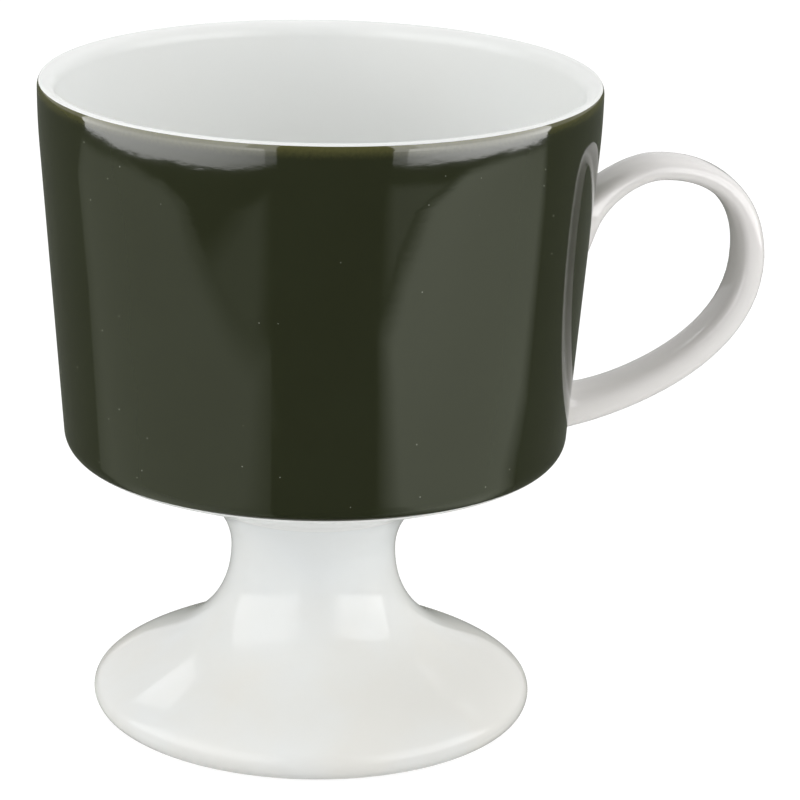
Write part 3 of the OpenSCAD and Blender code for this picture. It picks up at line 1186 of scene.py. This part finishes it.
@dataclass(frozen=True)
class Studio:
    """Pale floor, soft boxes, table and camera. Places are given from the camera's side: x right and y away."""

    camera_azimuth: float = -10.0
    image_px: int = 800
    sensor_mm: float = 36.0
    focal_px: float = 3598.5
    centre_px: float = 329.0
    distance: float = 370.0
    height: float = 153.5
    pitch: float = 17.813
    yaw: float = 0.223
    roll: float = 0.991
    floor_half: float = 3000.0
    floor_white: str = "#EDEDED"
    floor_glow: float = 0.9
    floor_shade: float = 0.2
    left_azimuth: float = -64.5
    right_azimuth: float = 66.5
    table_half: float = 2000.0
    table_z: float = 0.5
    far_pool_z: float = 0.8
    pool_z: float = 1.0
    front_table_z: float = 0.65
    table_glow: float = 0.06
    side_glow: float = 0.13
    pool_border: float = 16.0
    pool_tint: str = "#F9FFEC"
    pool_near: float = -110.0
    pool_fall: float = 0.0038
    lamp_distance: float = 800.0
    lamp_aim_z: float = 35.0

    def placed(self, x: float, y: float, z: float) -> Vector:
        """Turns a place as seen from the camera's side into the cup's frame."""
        turn = math.radians(self.camera_azimuth)
        return Vector((x * math.cos(turn) - y * math.sin(turn), x * math.sin(turn) + y * math.cos(turn), z))

    def wall_place(self, azimuth: float, distance: float, across: float, z: float) -> tuple[float, float, float]:
        """Gives a place on an upright panel that faces the cup.

        Args:
            azimuth: Where the panel's middle stands, from the camera round to the right.
            distance: How far the panel stands from the cup's axis.
            across: Place along the panel, more being further round to the right.
            z: Height.

        Returns:
            The place from the camera's side.
        """
        c, s = math.cos(math.radians(azimuth)), math.sin(math.radians(azimuth))
        return (distance * s + across * c, -distance * c + across * s, z)

    def round_place(self, azimuth: float, elevation: float) -> tuple[float, float, float]:
        """Gives a place at the lamps' distance.

        Args:
            azimuth: Where it stands, from the camera round to the right.
            elevation: How high it stands over the point that the lamps aim at.

        Returns:
            The place from the camera's side.
        """
        rise = math.radians(elevation)
        x, y, _ = self.wall_place(azimuth, self.lamp_distance * math.cos(rise), 0, 0)
        return (x, y, self.lamp_aim_z + self.lamp_distance * math.sin(rise))

    def upright_cards(self) -> list[Card]:
        """Gives the upright cards: two soft boxes with their tops and wings, the rear lights and the dark room.

        Returns:
            The cards in order.
        """
        left, right = (self.left_azimuth, 176.0), (self.right_azimuth, 205.0)
        rear_left, rear_right, camera_side = (-144.5, 400.0), (137.0, 400.0), (6.5, 330.0)
        # Name, glow, fade, edge glow, span, the panel's bearing and distance, and corners by place across and height
        panels = (
            ("left_soft_box", 6.1, Fade.FOOT, 2.0, 34.0, left, (
                (-137, 18), (-86, 22), (-38, 23), (23, 23), (81, 17), (136, 10), (172, 5), (172, 80), (-136, 80))),
            ("left_soft_box_top", 5.0, Fade.NONE, 0.0, 0.0, left, (
                (-136, 80), (136, 80), (136, 271), (-134, 210))),
            ("left_soft_box_wing", 3.0, Fade.FOOT, 1.0, 34.0, left, (
                (172, 5), (200, 1), (200, 250), (136, 271), (136, 80), (172, 80))),
            ("right_soft_box", 7.9, Fade.FOOT, 2.4, 23.0, right, (
                (-136, 6), (-62, 16), (18, 20), (124, 14), (128, 80), (-136, 80))),
            ("right_soft_box_top", 6.2, Fade.NONE, 0.0, 0.0, right, (
                (-118, 80), (128, 80), (134, 178), (-116, 242))),
            ("right_soft_box_wing", 4.2, Fade.FOOT, 1.2, 34.0, right, (
                (-166, 2), (-136, 6), (-136, 80), (-118, 80), (-116, 242), (-166, 242))),
            ("rear_left_light", 3.6, Fade.NONE, 0.0, 0.0, rear_left, (
                (-15, 280), (60, 280), (60, 420), (-15, 420))),
            ("rear_right_light", 2.5, Fade.NONE, 0.0, 0.0, rear_right, (
                (-45, 320), (30, 320), (30, 380), (-45, 380))),
            ("dark_room", self.table_glow, Fade.NONE, 0.0, 0.0, camera_side, (
                (-150, 1), (150, 1), (150, 900), (-150, 900))),
        )
        return [Card(name, glow, tuple(self.wall_place(*stand, across, z) for across, z in corners), fade, edge_glow,
                     span) for name, glow, fade, edge_glow, span, stand, corners in panels]

    def table_cards(self) -> list[Card]:
        """Gives the cards that lie on the table: its dark sides and front, and the lamps' pools of light.

        Returns:
            The cards in order.
        """
        half = self.table_half
        sides = ((-half, -half), (half, -half), (half, half), (-half, half))
        front = ((-40, 0), (-1930, -517), (-1930, -half), (1930, -half), (1930, -517), (40, 0))
        # Name, glow, edge glow, height and corners
        pools = (
            ("left_pool", 0.75, 0.3, self.pool_z, (
                (-9, -30), (-24, -81), (-33, -108), (-38, -123), (-64, -120), (-99, -117), (-130, -112), (-149, -111),
                (-185, -100), (-224, -62), (-243, -19), (-256, 74), (-192, 71), (-148, 44), (-107, 26), (-57, 5),
                (-25, 5))),
            ("left_far_pool", 0.42, 0.06, self.far_pool_z, (
                (-20, -100), (-38, -123), (-64, -204), (-90, -158), (-108, -129), (-121, -109), (-100, -80))),
            ("right_pool", 1.4, 0.06, self.pool_z, (
                (13, -30), (34, -78), (45, -104), (51, -124), (80, -137), (129, -142), (188, -138), (211, -127),
                (241, -97), (261, -56), (278, 49), (192, 38), (154, 29), (111, 17), (88, 3), (30, 5))),
            ("right_far_pool", 0.5, 0.06, self.far_pool_z, (
                (45, -104), (64, -147), (79, -176), (97, -204), (141, -179), (188, -134), (120, -90))),
        )
        return [
            Card("side_table", self.side_glow, tuple((x, y, self.table_z) for x, y in sides), tint=self.pool_tint),
            Card("front_table", self.table_glow, tuple((x, y, self.front_table_z) for x, y in front)),
            *(Card(name, glow, tuple((x, y, z) for x, y in corners), Fade.BORDER, edge_glow, self.pool_border,
                   self.pool_tint) for name, glow, edge_glow, z, corners in pools)]

    def lamps(self) -> list[Lamp]:
        """Gives the lamps that light the cup.

        Returns:
            The lamps in order.
        """
        return [
            Lamp("left_lamp", 1.1, self.wall_place(self.left_azimuth, 300, 0, 250), (640, 460)),
            Lamp("right_lamp", 4.7, self.wall_place(self.right_azimuth, 900, 0, 490), (1430, 940)),
            Lamp("top_lamp", 1.4, self.round_place(0, 88), (600, 600)),
            Lamp("rear_lamp", 1.5, self.round_place(180, 45), (500, 500)),
            Lamp("rear_right_lamp", 1.57, self.round_place(135, 35), (500, 500)),
            Lamp("low_left_lamp", 1.79, self.round_place(-75, 12), (500, 500)),
            Lamp("low_right_lamp", 1.75, self.round_place(45, 15), (500, 500))]

    def glow_material(self, card: Card) -> bpy.types.Material:
        """Makes the glowing face of a card.

        Args:
            card: The card.

        Returns:
            Its material.
        """
        material = new_material(f"{card.name}_face")
        tree = material.node_tree
        level = {"To Min": card.edge_glow, "To Max": card.glow}
        if card.fade is Fade.BORDER:
            level["Value"] = add_node(tree, "Attribute", attribute_name=INNER_SHARE).outputs["Fac"]
        elif card.fade is Fade.FOOT:
            place = add_node(tree, "TexCoord").outputs["Object"]
            foot = min(corner[2] for corner in card.corners)
            level |= {"Value": add_node(tree, "SeparateXYZ", {0: place}).outputs["Z"],
                      "From Min": foot * MM, "From Max": (foot + card.span) * MM}
        strength = card.glow if card.fade is Fade.NONE else add_node(tree, "MapRange", level).outputs[0]
        glow = add_node(tree, "Emission", {"Color": linear(card.tint), "Strength": strength})
        add_node(tree, "OutputMaterial", {"Surface": glow.outputs[0]})
        return material

    def shade_pool(self, piece: bpy.types.Object) -> None:
        """Lets a pool's glow fall off away from the camera.

        Args:
            piece: The pool's card.
        """
        away = self.placed(0, 1, 0)
        share = piece.data.attributes[INNER_SHARE].data
        for vertex in piece.data.vertices:
            depth = vertex.co.dot(away) / MM
            share[vertex.index].value *= min(1.0, 1 - self.pool_fall * (depth - self.pool_near))

    def put_up(self, piece: bpy.types.Object, material: bpy.types.Material, seen: Seen) -> None:
        """Stands a flat piece in the studio.

        Args:
            piece: The piece.
            material: Its face.
            seen: Which rays meet it.
        """
        piece.data.materials.append(material)
        if seen is Seen.GLOSS:
            piece.visible_camera = piece.visible_diffuse = piece.visible_shadow = False
            piece.visible_transmission = piece.visible_volume_scatter = False
        log.info("%s stands in the studio", piece.name)

    def seen_share(self, tree: bpy.types.NodeTree) -> bpy.types.NodeSocket:
        """Tells the rays that look at the background from those that carry light to the cup.

        Args:
            tree: Tree that the nodes join.

        Returns:
            The socket that gives 1 for rays from the camera, from gloss and through glass, and 0 for the others.
        """
        path = add_node(tree, "LightPath").outputs
        either = add_node(tree, "Math", {0: path["Is Camera Ray"], 1: path["Is Glossy Ray"]}, operation="MAXIMUM")
        return add_node(tree, "Math", {0: either.outputs[0], 1: path["Is Transmission Ray"]},
                        operation="MAXIMUM").outputs[0]

    def floor_material(self) -> bpy.types.Material:
        """Makes a pale floor that is white to the eye and keeps the cup's shadow.

        Returns:
            Its material.
        """
        material = new_material("pale_studio_floor")
        tree = material.node_tree
        bounce = add_node(tree, "BsdfDiffuse", {"Color": linear(self.floor_white)})
        shade = add_node(tree, "BsdfDiffuse", {"Color": (self.floor_shade,) * 3 + (1.0,)})
        glow = add_node(tree, "Emission", {"Strength": self.floor_glow})
        white = add_node(tree, "AddShader", {0: shade.outputs[0], 1: glow.outputs[0]})
        floor = add_node(tree, "MixShader", {0: self.seen_share(tree), 1: bounce.outputs[0], 2: white.outputs[0]})
        add_node(tree, "OutputMaterial", {"Surface": floor.outputs[0]})
        return material

    def build_world(self) -> None:
        """Shows white where the eye or the gloss looks past the floor. The room itself gives the cup no light."""
        world = bpy.data.worlds.new("studio_room")
        world.use_nodes = True
        tree = world.node_tree
        tree.nodes.clear()
        light = add_node(tree, "Background", {"Strength": self.seen_share(tree)})
        add_node(tree, "OutputWorld", {"Surface": light.outputs[0]})
        bpy.context.scene.world = world

    def hang(self, lamp: Lamp) -> None:
        """Hangs a lamp that shows in no gloss.

        Args:
            lamp: The lamp.
        """
        light = bpy.data.lights.new(lamp.name, "AREA")
        light.shape, light.energy = "RECTANGLE", lamp.power
        light.size, light.size_y = lamp.size[0] * MM, lamp.size[1] * MM
        holder = bpy.data.objects.new(lamp.name, light)
        bpy.context.scene.collection.objects.link(holder)
        middle = self.placed(*lamp.place) * MM
        aim = Vector((0, 0, self.lamp_aim_z * MM)) - middle
        holder.matrix_world = Matrix.Translation(middle) @ aim.to_track_quat("-Z", "Y").to_matrix().to_4x4()
        holder.visible_glossy = False
        log.info("%s lights the cup", lamp.name)

    def build_camera(self) -> None:
        """Stands the camera where the picture was taken from."""
        pitch, yaw, roll = (math.radians(v) for v in (self.pitch, self.yaw, self.roll))
        ahead = Vector((math.sin(yaw) * math.cos(pitch), math.cos(yaw) * math.cos(pitch), -math.sin(pitch)))
        right = ahead.cross(Vector((0, 0, 1))).normalized()
        up = right.cross(ahead)
        axes = (math.cos(roll) * right + math.sin(roll) * up, math.cos(roll) * up - math.sin(roll) * right, -ahead)
        data = bpy.data.cameras.new("picture_camera")
        data.sensor_width, data.lens = self.sensor_mm, self.focal_px / self.image_px * self.sensor_mm
        data.shift_x = (self.image_px / 2 - self.centre_px) / self.image_px
        camera = bpy.data.objects.new("picture_camera", data)
        bpy.context.scene.collection.objects.link(camera)
        turned = Matrix([self.placed(*axis) for axis in axes]).transposed().to_4x4()
        camera.matrix_world = Matrix.Translation(self.placed(0, -self.distance, self.height) * MM) @ turned
        bpy.context.scene.camera = camera

    def build(self) -> None:
        """Sets up the floor, the cards, the lamps, the room and the camera."""
        half = self.floor_half
        corners = [Vector((x, y, 0)) for x, y in ((-half, -half), (half, -half), (half, half), (-half, half))]
        self.put_up(sheet_piece("pale_floor", corners), self.floor_material(), Seen.ALL)
        for card in self.upright_cards() + self.table_cards():
            pool = card.fade is Fade.BORDER
            corners = [self.placed(*corner) for corner in card.corners]
            piece = sheet_piece(card.name, corners, card.span if pool else 0.0)
            if pool:
                self.shade_pool(piece)
            self.put_up(piece, self.glow_material(card), Seen.GLOSS)
        for lamp in self.lamps():
            self.hang(lamp)
        self.build_world()
        self.build_camera()
        bpy.context.scene.view_settings.view_transform = "Standard"


def main() -> None:
    """Builds the cup's pieces in order, dresses them and sets up the studio."""
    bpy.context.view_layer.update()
    form = CupForm.from_frame()
    bowl, pedestal, handle = Bowl(form), Pedestal(form), Handle(form)
    coat = GreenCoat(form, handle)
    # The bowl's lighter white is painted light, not a different porcelain
    bowl.dress(bowl.build(), SOFT_PORCELAIN_PAINTED_LIGHTER.material())
    pedestal.dress(*pedestal.build(), CLEAR_PORCELAIN.material())
    # The handle's warmer white is painted shade and bounce from the olive coat, not a different porcelain
    handle.dress(handle.build(), HANDLE_PORCELAIN_PAINTED_WARM_SHADE.material())
    coat.dress(coat.build())
    RootSlips().dress(FiredSlip().material())
    Studio().build()


if __name__ == "__main__":
    logging.basicConfig(level=logging.INFO, format="%(message)s")
    main()
